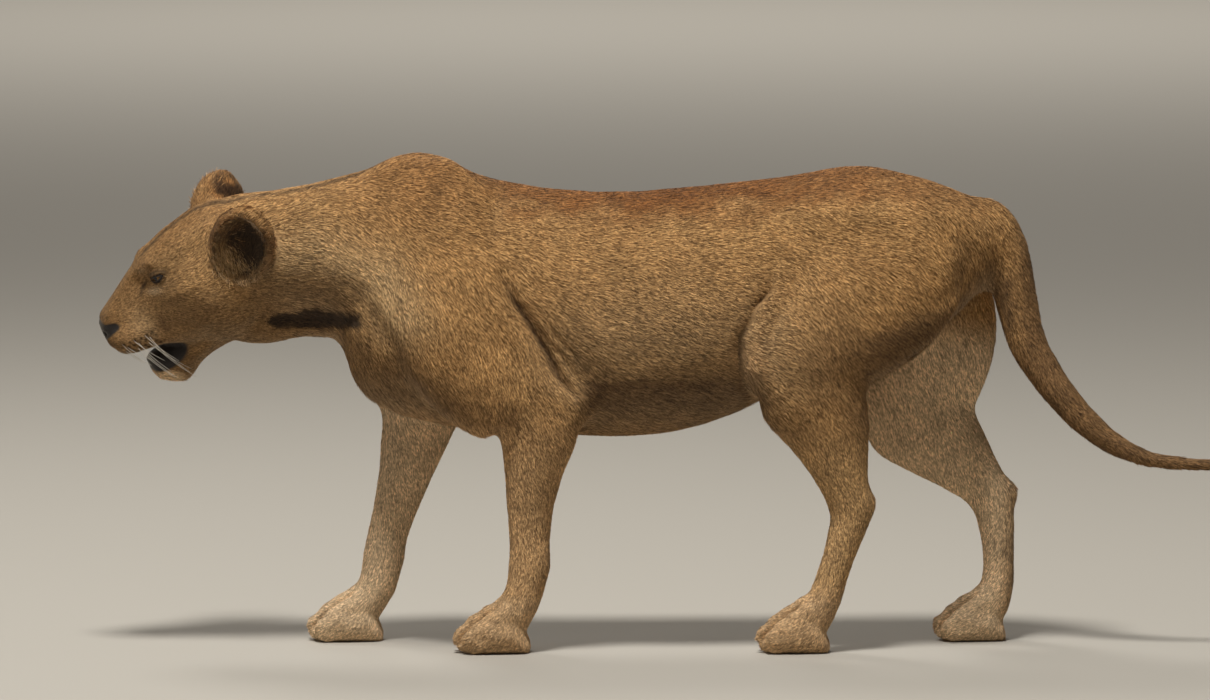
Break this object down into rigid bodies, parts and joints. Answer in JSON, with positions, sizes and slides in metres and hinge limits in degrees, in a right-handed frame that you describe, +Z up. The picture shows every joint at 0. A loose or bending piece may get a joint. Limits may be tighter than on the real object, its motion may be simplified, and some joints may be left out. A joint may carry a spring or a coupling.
{
  "type": "lioness",
  "caption": "Walking lioness as a still life-size model: head lowered, ears laid back, mouth slightly open, long tail hanging and curving out behind with a dark tuft.",
  "frame": {"origin": "the floor point under the middle of the whole animal's box", "axes": "the lioness walks along -Y, her left side is +X and +Z is up; the soles lie on z = 0"},
  "size_m": [0.3538, 2.1672, 0.8686],
  "materials": {
    "coat": "short tan fur lying flat",
    "pale_coat": "short pale buff fur",
    "tail_coat": "short greyish tan fur",
    "dark_tuft": "long dark brown hair",
    "nose_leather": "moist black skin",
    "eye": "glossy amber"
  },
  "bodies": {
    "root": {"trunk": "coat", "neck": "coat", "head": "coat", "jaw": "pale_coat", "nose": "nose_leather", "ear_left": "coat", "ear_right": "coat", "eye_left": "eye", "eye_right": "eye", "foreleg_left_upper": "coat", "foreleg_left_lower": "coat", "foreleg_left_paw": "coat", "foreleg_right_upper": "coat", "foreleg_right_lower": "coat", "foreleg_right_paw": "coat", "hindleg_left_upper": "coat", "hindleg_left_lower": "coat", "hindleg_left_paw": "coat", "hindleg_right_upper": "coat", "hindleg_right_lower": "coat", "hindleg_right_paw": "coat", "tail_root": "tail_coat", "tail_middle": "tail_coat", "tail_end": "tail_coat", "tail_tuft": "dark_tuft"}
  },
  "joints": []
}
